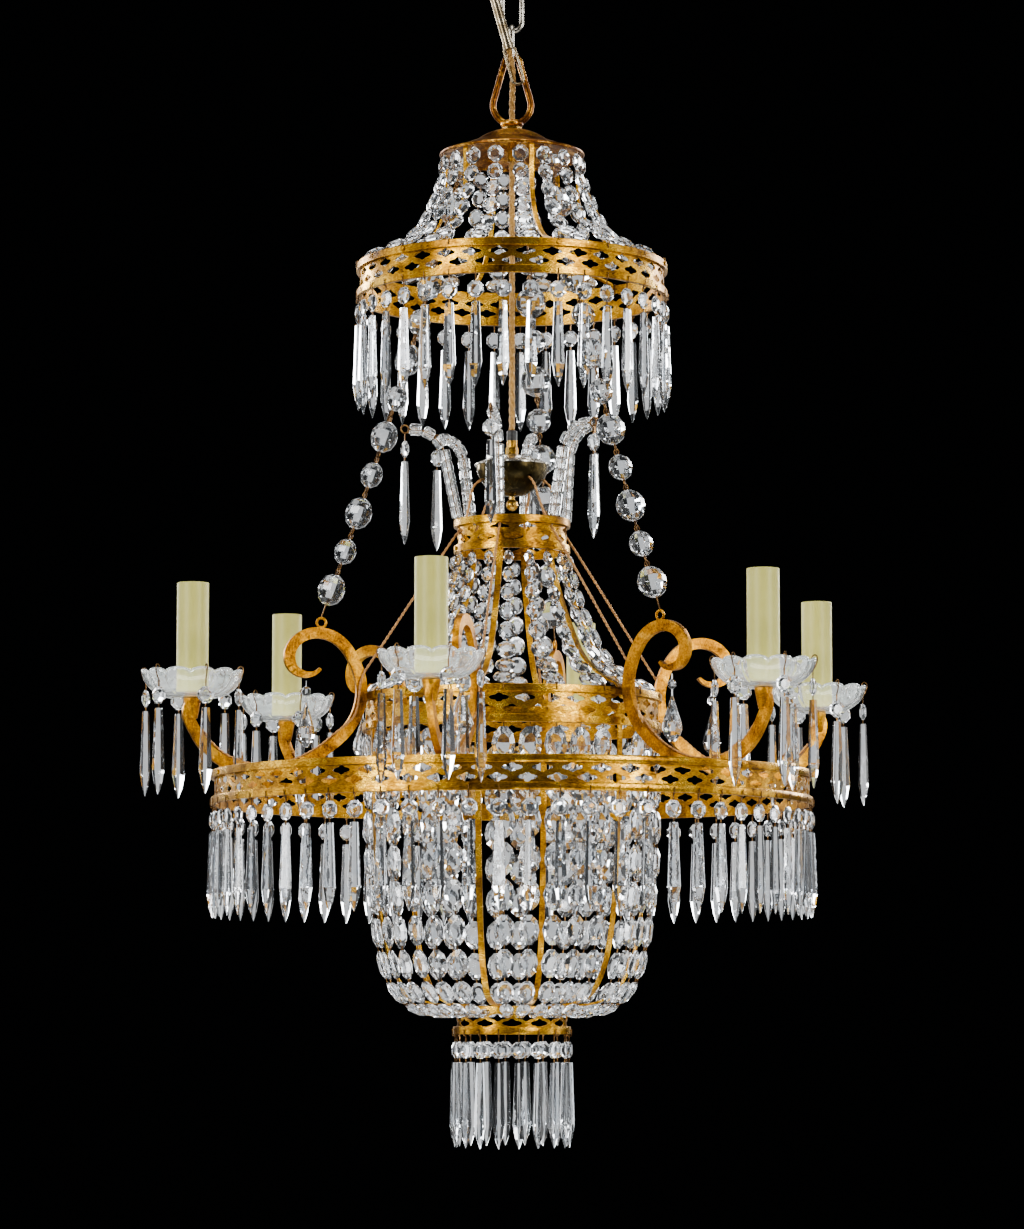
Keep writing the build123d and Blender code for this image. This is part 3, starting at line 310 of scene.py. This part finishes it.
GILT = metal("gilt", (0.075, 0.028, 0.004), (0.43, 0.215, 0.022), (0.84, 0.53, 0.09),
             patch=38, grain=360, rough=(0.2, 0.4), relief=0.5, stretch=(1, 1, 2.6))
GILT_ARMS = metal("gilt_arms", (0.13, 0.046, 0.006), (0.48, 0.215, 0.022), (0.78, 0.43, 0.065),
                  patch=50, grain=620, rough=(0.26, 0.44), relief=0.8)
BRONZE = metal("bronze", (0.045, 0.014, 0.005), (0.20, 0.075, 0.016), (0.74, 0.42, 0.10),
               patch=60, grain=500, rough=(0.26, 0.44), relief=0.5)
BRASS = metal("brass", (0.16, 0.08, 0.016), (0.52, 0.30, 0.06), (0.84, 0.58, 0.19),
              patch=110, grain=900, rough=(0.18, 0.36))
OLIVE_BRASS = metal("olive_brass", (0.02, 0.015, 0.005), (0.07, 0.05, 0.017),
                    (0.26, 0.19, 0.075), patch=22, grain=260, rough=(0.16, 0.34), relief=0.12)
NICKEL = metal("nickel", (0.18, 0.16, 0.13), (0.42, 0.39, 0.33), (0.74, 0.70, 0.62),
               patch=80, grain=900, rough=(0.12, 0.3), relief=0.2)
WORN_NICKEL = metal("worn_nickel", (0.10, 0.066, 0.03), (0.30, 0.24, 0.15), (0.58, 0.52, 0.40),
                    patch=70, grain=700, rough=(0.18, 0.36), relief=0.3)
STEEL = metal("steel", (0.25, 0.25, 0.25), (0.5, 0.5, 0.5), (0.72, 0.72, 0.7),
              patch=90, grain=900, rough=(0.3, 0.5), relief=0.2)
HOOK_WIRE = metal("hook_wire", (0.03, 0.016, 0.008), (0.12, 0.062, 0.024), (0.42, 0.25, 0.1),
                  patch=300, grain=1500, rough=(0.3, 0.5), relief=0.2)
CRYSTAL = clear_glass("cut_crystal", (0.86, 0.91, 0.96), (0.0, 0.03), 0.05, 1.54, 0.985)
PAN_GLASS = clear_glass("moulded_glass", (0.90, 0.95, 0.95), (0.01, 0.06), 0.16, 1.5, 0.93,
                        scale=60)
TUBE_GLASS = clear_glass("tube_glass", (0.88, 0.93, 0.95), (0.0, 0.04), 0.06, 1.52, 0.97,
                         scale=120)


def corded(name, dark, light, scale):
    """Silk or cotton thread, worn lighter in places."""
    look = Look(name)
    threads = look.noise(scale, 5.0, 0.7)
    worn = look.noise(40, 3.0)
    colour = look.ramp(threads, [(0.32, dark), (0.68, light)])
    look.set(Base_Color=look.mix(look.spread(worn, 0.0, 0.35), colour, (*light, 1)),
             Roughness=look.spread(threads, 0.6, 0.38), Sheen_Weight=0.08, Sheen_Roughness=0.4,
             Metallic=0.35)
    look.bump(threads, 0.5, 0.0003)
    return look.material


GOLD_CORD = corded("gold_cord", (0.09, 0.036, 0.008), (0.50, 0.29, 0.085), 700)
LAMP_CORD = corded("lamp_cord", (0.12, 0.04, 0.012), (0.58, 0.32, 0.12), 900)


def sleeve_look():
    """Waxed card: faint woven threads both ways, slightly mottled."""
    look = Look("sleeve_card", "UV")
    across = look.wave(420, "X", 1.5)
    up = look.wave(420, "Y", 1.5)
    weave = look.maths("MULTIPLY", across, up)
    mottled = look.noise(28, 4.0)
    base = look.ramp(mottled, [(0.3, (0.46, 0.43, 0.12)), (0.7, (0.54, 0.51, 0.17))])
    look.set(Base_Color=look.mix(look.spread(weave, 0.0, 0.22, 0.0, 1.0), base,
                                 (0.66, 0.63, 0.27, 1)),
             Roughness=look.spread(mottled, 0.38, 0.5), Subsurface_Weight=0.12,
             Subsurface_Radius=(0.004, 0.003, 0.0015), Coat_Weight=0.12, Coat_Roughness=0.3)
    look.bump(weave, 0.18, 0.0003)
    return look.material


def black_plastic_look():
    """Moulded plastic with a fine grain."""
    look = Look("black_plastic")
    grain = look.noise(500, 3.0)
    look.set(Base_Color=look.ramp(grain, [(0.35, (0.012, 0.011, 0.01)),
                                          (0.65, (0.035, 0.032, 0.03))]),
             Roughness=look.spread(grain, 0.35, 0.5))
    look.bump(grain, 0.15, 0.0002)
    return look.material


SLEEVE_CARD = sleeve_look()
BLACK_PLASTIC = black_plastic_look()

# ---- Finishes of the nodes that show as they are ---------------------------------

FINISHES = {
    GILT: ["upper_hoops", "upper_gallery", "crown_hoops", "crown_gallery", "mid_hoops",
           "mid_gallery", "large_hoops", "large_gallery", "bottom_hoops", "bottom_gallery",
           "upper_ribs", "basket_ribs", "lower_ribs", "rivets"],
    GILT_ARMS: ["arms"],
    BRONZE: ["hanging_loop", "canopy_dish"],
    BRASS: ["canopy_nipple", "canopy_nuts", "bowl_finial", "cord_bush", "lamp_stems"],
    OLIVE_BRASS: ["junction_bowl"],
    NICKEL: ["upper_link", "lower_link", "junction_cover"],
    WORN_NICKEL: ["cord_sheath", "cord_bail"],
    STEEL: ["bowl_rod", "lampholders"],
    HOOK_WIRE: ["crystal_wires", "plume_wires"],
    CRYSTAL: ["upper_crystals", "basket_crystals", "lower_crystals", "upper_pendants",
              "large_pendants", "bottom_pendants", "pan_pendants", "plume_pendants",
              "chain_beads", *[f"teardrop_{k + 1}" for k in range(ARMS)]],
    TUBE_GLASS: ["plume_tubes"],
    PAN_GLASS: ["drip_pans"],
    GOLD_CORD: ["supply_cord"],
    LAMP_CORD: ["lamp_wires"],
    BLACK_PLASTIC: ["cord_clamp", "supply_connector", "terminal_block"],
    SLEEVE_CARD: [f"candle_sleeve_{k + 1}" for k in range(ARMS)],
}
for finish, names in FINISHES.items():
    for name in names:
        paint(NODES[name], finish)
for name in FINISHES[CRYSTAL] + FINISHES[TUBE_GLASS] + FINISHES[PAN_GLASS]:
    NODES[name].visible_shadow = False


def soften(node, width, segments, sharper_than):
    """Round the edges of a node whose facets are sharper than an angle in degrees."""
    node.modifiers.new("joined_facets", "WELD").merge_threshold = 0.01 * MM
    edge = node.modifiers.new("soft_edges", "BEVEL")
    edge.width = width
    edge.segments = segments
    edge.limit_method = "ANGLE"
    edge.angle_limit = math.radians(sharper_than)


for name in ("arms", "upper_hoops", "crown_hoops", "mid_hoops", "large_hoops", "bottom_hoops"):
    soften(NODES[name], 0.5 * MM, 2, 50)
soften(NODES["plume_tubes"], 1.4 * MM, 3, 60)

# ---- Candle sleeves --------------------------------------------------------------

SLEEVE_FOOT = CUP_TOP + (3 + 0.05) * MM
SLEEVE_HEIGHT = 95 * MM
SLEEVE_OUT = 13.5 * MM
SLEEVE_IN = 12.3 * MM


def sleeve(name, azimuth):
    """A card tube with a softened rim, unrolled so that its weave runs straight."""
    sides = 72
    bands = 12
    soft = 0.35 * MM
    ring = [(SLEEVE_OUT, SLEEVE_HEIGHT * k / bands) for k in range(bands)]
    ring += [(SLEEVE_OUT, SLEEVE_HEIGHT - soft), (SLEEVE_OUT - soft, SLEEVE_HEIGHT),
             (SLEEVE_IN + soft, SLEEVE_HEIGHT), (SLEEVE_IN, SLEEVE_HEIGHT - soft),
             (SLEEVE_IN, 0.0)]
    centre = polar(CANDLE_CIRCLE, azimuth, SLEEVE_FOOT)
    vertices = []
    for r, h in ring:
        for s in range(sides):
            t = 2 * math.pi * s / sides
            vertices.append(centre + Vector((r * math.cos(t), r * math.sin(t), h)))
    faces, uvs = [], []
    along = [0.0]
    for (r0, h0), (r1, h1) in zip(ring, ring[1:] + ring[:1]):
        along.append(along[-1] + math.hypot(r1 - r0, h1 - h0))
    count = len(ring)
    for k in range(count):
        for s in range(sides):
            n = (s + 1) % sides
            m = (k + 1) % count
            faces.append((k * sides + s, k * sides + n, m * sides + n, m * sides + s))
            left, right = (2 * math.pi * SLEEVE_OUT * q / sides for q in (s, s + 1))
            uvs += [(left, along[k]), (right, along[k]), (right, along[k + 1]),
                    (left, along[k + 1])]
    piece = mesh_object(name, vertices, faces, smooth=True)
    layer = piece.data.uv_layers.new(name="unrolled")
    for loop, uv in zip(layer.data, uvs):
        loop.uv = uv
    piece.data.set_sharp_from_angle(angle=math.radians(35))
    paint(piece, SLEEVE_CARD)
    return piece


for number, azimuth in enumerate(ARM_AZIMUTHS, start=1):
    made = sleeve(f"sleeve_{number}", azimuth)
    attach(made, f"sleeve_{number}")
    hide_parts(f"candle_sleeve_{number}")

# ---- Drip pans: moulded petals ---------------------------------------------------

PAN_RADIUS = 43.4 * MM
PAN_DEPTH = 23 * MM
PAN_WALL = 3 * MM
PAN_FLOOR = 17 * MM
PAN_HOLE = 5.05 * MM
PETALS = 12
PETAL_STEPS = 14                    # columns of faces across a petal
PETAL_BULGE = 4.4 * MM              # from a petal's middle back to its seams
PETAL_SEAM = 1.2 * MM
PETAL_DROP = 4.6 * MM               # from the top of a petal's arch to its seams


def petal_columns():
    """Direction, place in the petal and height of its arch for each column of the pan.

    The place is 0 at a petal's middle and 1 at its seam, and the arch falls from 1 to 0.2.
    """
    for c in range(PETALS * PETAL_STEPS):
        t = 2 * math.pi * c / (PETALS * PETAL_STEPS)
        q = abs((c / PETAL_STEPS) % 1.0 - 0.5) * 2
        yield Vector((math.cos(t), math.sin(t), 0)), q, math.sqrt(1 - (q * 0.98) ** 2)


def pan_shape():
    """A shallow bowl of petals whose rims are arches and whose seams are narrow ribs."""
    reach = PAN_RADIUS - PAN_FLOOR
    outer = [(PAN_HOLE, 0.0), (PAN_FLOOR * 0.75, 0.0), (PAN_FLOOR, 0.4 * MM)]
    steps = 12
    for k in range(1, steps + 1):
        turn = k / steps * math.pi / 2
        outer.append((PAN_FLOOR + reach * math.sin(turn) ** 0.92,
                      PAN_DEPTH * (1 - math.cos(turn)) ** 0.86))
    inner = []
    for r, h in reversed(outer[2:]):
        share = (r - PAN_FLOOR) / reach
        inner.append((r - PAN_WALL * (0.25 + 0.62 * share), h + PAN_WALL * (1 - share)))
    inner += [(PAN_FLOOR * 0.75, PAN_WALL), (PAN_HOLE, PAN_WALL)]
    vertices, faces = [], []
    rows = [(r, h, True) for r, h in outer] + [(r, h, False) for r, h in inner]
    for r, h, outside in rows:
        share = max(0.0, min(1.0, (r - PAN_FLOOR) / reach))
        for way, q, arch in petal_columns():
            bulge = (arch - 1) * PETAL_BULGE * share ** 0.7 * (1 if outside else 0.8)
            seam = math.exp(-((1 - q) / 0.10) ** 2) * PETAL_SEAM * share if outside else 0.0
            drop = (1 - arch) * PETAL_DROP * share ** 4
            vertices.append(way * (r + bulge + seam) + Vector((0, 0, h - drop)))
    columns = PETALS * PETAL_STEPS
    for k in range(len(rows)):
        m = (k + 1) % len(rows)
        for c in range(columns):
            n = (c + 1) % columns
            faces.append((k * columns + c, k * columns + n, m * columns + n, m * columns + c))
    return vertices, faces


def rim_line():
    """Points round the scalloped edge."""
    return [way * (PAN_RADIUS - 0.9 * MM + (arch - 1) * (PETAL_BULGE - 0.2 * MM))
            + Vector((0, 0, PAN_DEPTH - 0.4 * MM - (1 - arch) * PETAL_DROP))
            for way, q, arch in petal_columns()]


PAN = pan_shape()
PAN_RIM = tube(rim_line(), 1.3 * MM, closed=True)
pans = Gathered()
for azimuth in ARM_AZIMUTHS:
    seat = (Matrix.Translation(polar(CANDLE_CIRCLE, azimuth, CUP_TOP))
            @ Matrix.Rotation(math.radians(azimuth + 180 / PETALS), 4, "Z"))
    pans.add(PAN, seat)
    pans.add(PAN_RIM, seat)
pan_piece = pans.build("petal_pans", PAN_GLASS, "chandelier")
pan_piece.visible_shadow = False
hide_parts("drip_pans")

# ---- Twisted cords ---------------------------------------------------------------

SUPPLY_ROUTE = [
    (-21.5, -17.0, -4.0), (-1.41, -13.3, -74.8), (1.0, -8.2, -91.0), (0.3, -4.2, -108.0),
    (-0.1, -0.8, -124.0), (0, 0, -140.0), (0, 0, -180.0),
]
SUPPLY_END = Vector((0, 0, -406.0)) * MM
# radius, sideways offset and height along one arm
LAMP_ROUTE = [
    (25.2, -6.3, -449.0), (33.5, -8.3, -453.0), (37.2, -4.6, -472.0), (43.0, 0, -490.1),
    (52.5, 0, -501.1), (127.4, 4.1, -612.0), (136.4, 4.1, -625.0), (137.7, 4.1, -645.8),
    (141.0, 4.7, -658.0), (149.0, 3.1, -666.0), (160.0, 0, -675.0), (173.0, 0, -686.0),
    (194.0, 0, -697.0), (217.2, 0, -701.7), (240.4, 0, -699.0), (260.7, 0, -689.0),
    (272.8, 0, -674.0),
]


def strands(points, radius, turns_every, lobes, depth):
    """A twisted cord along points, in steps of a 24th of a turn."""
    return tube(resampled(points, turns_every / 24), radius, sides=6 * lobes, lobes=lobes,
                pitch=turns_every, depth=depth)


supply = Gathered()
supply.add(strands(smooth_path([Vector(p) * MM for p in SUPPLY_ROUTE]) + [SUPPLY_END],
                   2.75 * MM, 24 * MM, 3, 0.34))
cord_piece = supply.build("twisted_supply_cord", GOLD_CORD, "chandelier")
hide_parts("supply_cord")

lamp_cords = Gathered()
lamp_line = strands(smooth_path([Vector(p) * MM for p in LAMP_ROUTE]),
                    1.2 * MM, 10 * MM, 2, 0.5)
for azimuth in ARM_AZIMUTHS:
    lamp_cords.add(lamp_line, Matrix.Rotation(math.radians(azimuth), 4, "Z"))
lamp_piece = lamp_cords.build("twisted_lamp_wires", LAMP_CORD, "chandelier")
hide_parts("lamp_wires")

# ---- Wire hooks and links --------------------------------------------------------

HOOK = 0.42 * MM                    # radius of the hooks' wire
PAN_HOOK_WIRE = 0.5 * MM
LINK_WIRE = 0.55 * MM
hooks = Gathered()


def bent_wire(profile, radius):
    """A wire in the XZ plane that follows (radius, height) points."""
    return tube(smooth_path([Vector((r, 0, z)) for r, z in profile], steps=4), radius, sides=6)


for ring, count, at_top in ((UPPER_RING, 36, False), (LARGE_RING, 66, False),
                            (BOTTOM_RING, 18, False), (MID_RING, 18, True),
                            (UPPER_RING, 18, True)):
    outer, top, height = ring
    edge, way = (top, 1) if at_top else (top - height, -1)
    face = outer + HOOK + 0.1 * MM
    shape = bent_wire([(r, edge + way * z * MM) for r, z in (
        (outer - HOOP_THICKNESS / 2, 1.6), (outer, 1.5), (face + 0.2 * MM, 0.9), (face, -1.2),
        (face, -3.4), (face + 0.5 * MM, -4.4))], HOOK)
    start = FIRST_ARM + (10 if at_top else 0)
    for k in range(count):
        hooks.add(shape, Matrix.Rotation(math.radians(start + 360 * k / count), 4, "Z"))

PAN_HOOKS = 6
PAN_HOOK_TURN = 34                  # degrees from the arm's direction
PAN_HOOK = [(40.3, 13.6), (41.6, 15.2), (43.4, 19.0), (44.25, 22.5), (43.9, 25.6),
            (41.6, 26.6), (39.5, 24.8), (39.7, 22.0), (41.2, 21.0)]
pan_hook = bent_wire([(r * MM, z * MM) for r, z in PAN_HOOK], PAN_HOOK_WIRE)
for azimuth in ARM_AZIMUTHS:
    candle = (Matrix.Translation(polar(CANDLE_CIRCLE, azimuth, CUP_TOP))
              @ Matrix.Rotation(math.radians(azimuth + PAN_HOOK_TURN), 4, "Z"))
    for k in range(PAN_HOOKS):
        hooks.add(pan_hook, candle @ Matrix.Rotation(2 * math.pi * k / PAN_HOOKS, 4, "Z"))


def ring_link(centre, along, turn, half_length=2.9 * MM, half_width=2.0 * MM):
    """A small oval ring whose long way runs along a chain."""
    seat = (Matrix.Translation(centre) @ along.to_track_quat("Z", "X").to_matrix().to_4x4()
            @ Matrix.Rotation(turn, 4, "Z"))
    points = []
    for k in range(16):
        t = 2 * math.pi * k / 16
        points.append(seat @ Vector((half_width * math.sin(t), 0, half_length * math.cos(t))))
    return tube(points, LINK_WIRE, sides=6, closed=True)


BEAD_REACH = 0.47                   # from a bead's centre to its end, as a share of its size
LINK_OFFSET = 2.4 * MM              # from the middle of a gap to its two rings
LINK_TURN = 0.4
chains = {}
for centre, size in islands(NODES["chain_beads"]):
    side = round((math.degrees(math.atan2(centre.y, centre.x)) - FIRST_ARM) / 60) % ARMS
    chains.setdefault(side, []).append((centre, size))
for beads in chains.values():
    beads.sort(key=lambda bead: bead[0].z)
    for (low, low_size), (high, high_size) in zip(beads, beads[1:]):
        along = (high - low).normalized()
        middle = (low + high + along * (low_size - high_size) * BEAD_REACH) / 2
        hooks.add(ring_link(middle - along * LINK_OFFSET, along, LINK_TURN))
        hooks.add(ring_link(middle + along * LINK_OFFSET, along, LINK_TURN + math.pi / 2))
hooks_piece = hooks.build("hooks_and_links", HOOK_WIRE, "chandelier")

# ---- Camera, light and floor -----------------------------------------------------

scene = bpy.context.scene
scene.view_settings.look = "AgX - Medium High Contrast"
FRAME_HEIGHT = 1229                 # pixels
FOCAL_LENGTH = 4037                 # pixels
PITCH = 5.6656                      # degrees upwards
camera_data = bpy.data.cameras.new("camera")
camera_data.sensor_fit = "VERTICAL"
camera_data.sensor_height = 24.0
camera_data.lens = FOCAL_LENGTH / FRAME_HEIGHT * camera_data.sensor_height
camera_data.clip_end = 50
camera = bpy.data.objects.new("camera", camera_data)
camera.location = (0, -3.48, EYE)
camera.rotation_euler = (math.radians(90 + PITCH), 0, 0)
scene.collection.objects.link(camera)
scene.camera = camera

CENTRE = Vector((0, 0, -0.5))


def softbox(name, place, size, power):
    lamp = bpy.data.lights.new(name, "AREA")
    lamp.shape = "RECTANGLE"
    lamp.size, lamp.size_y = size
    lamp.energy = power
    holder = bpy.data.objects.new(name, lamp)
    holder.location = place
    holder.rotation_euler = (CENTRE - Vector(place)).to_track_quat("-Z", "Y").to_euler()
    holder.visible_camera = False
    scene.collection.objects.link(holder)


softbox("left_front", (-2.3, -2.3, 0.2), (0.8, 2.0), 62)
softbox("right_front", (2.3, -2.3, 0.2), (0.8, 2.0), 62)
softbox("left_side", (-2.9, 0.4, -0.4), (2.0, 3.2), 30)
softbox("right_side", (2.9, 0.4, -0.4), (2.0, 3.2), 30)
softbox("left_back", (-1.7, 1.9, 0.3), (0.5, 1.4), 36)
softbox("right_back", (1.7, 1.9, 0.3), (0.5, 1.4), 36)
softbox("back", (0, 3.2, -0.2), (2.6, 2.6), 12)
softbox("above", (0, -0.4, 1.7), (1.8, 1.8), 40)
softbox("below", (0, -1.3, -2.2), (2.6, 1.0), 26)

floor_size, floor_height = 3.2, -2.35
floor = mesh_object("floor", [(-floor_size, -floor_size, floor_height),
                              (floor_size, -floor_size, floor_height),
                              (floor_size, floor_size, floor_height),
                              (-floor_size, floor_size, floor_height)], [(0, 1, 2, 3)])
floor_look = Look("pale_floor")
specks = floor_look.noise(9, 5.0)
floor_look.set(Base_Color=floor_look.ramp(specks, [(0.3, (0.66, 0.65, 0.63)),
                                                   (0.7, (0.72, 0.71, 0.69))]),
               Roughness=floor_look.spread(specks, 0.7, 0.85))
paint(floor, floor_look.material)
floor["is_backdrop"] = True

world = bpy.data.worlds.new("studio")
world.use_nodes = True
world.node_tree.nodes["Background"].inputs["Color"].default_value = (0.5, 0.55, 0.6, 1)
world.node_tree.nodes["Background"].inputs["Strength"].default_value = 0.004
scene.world = world

low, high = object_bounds()
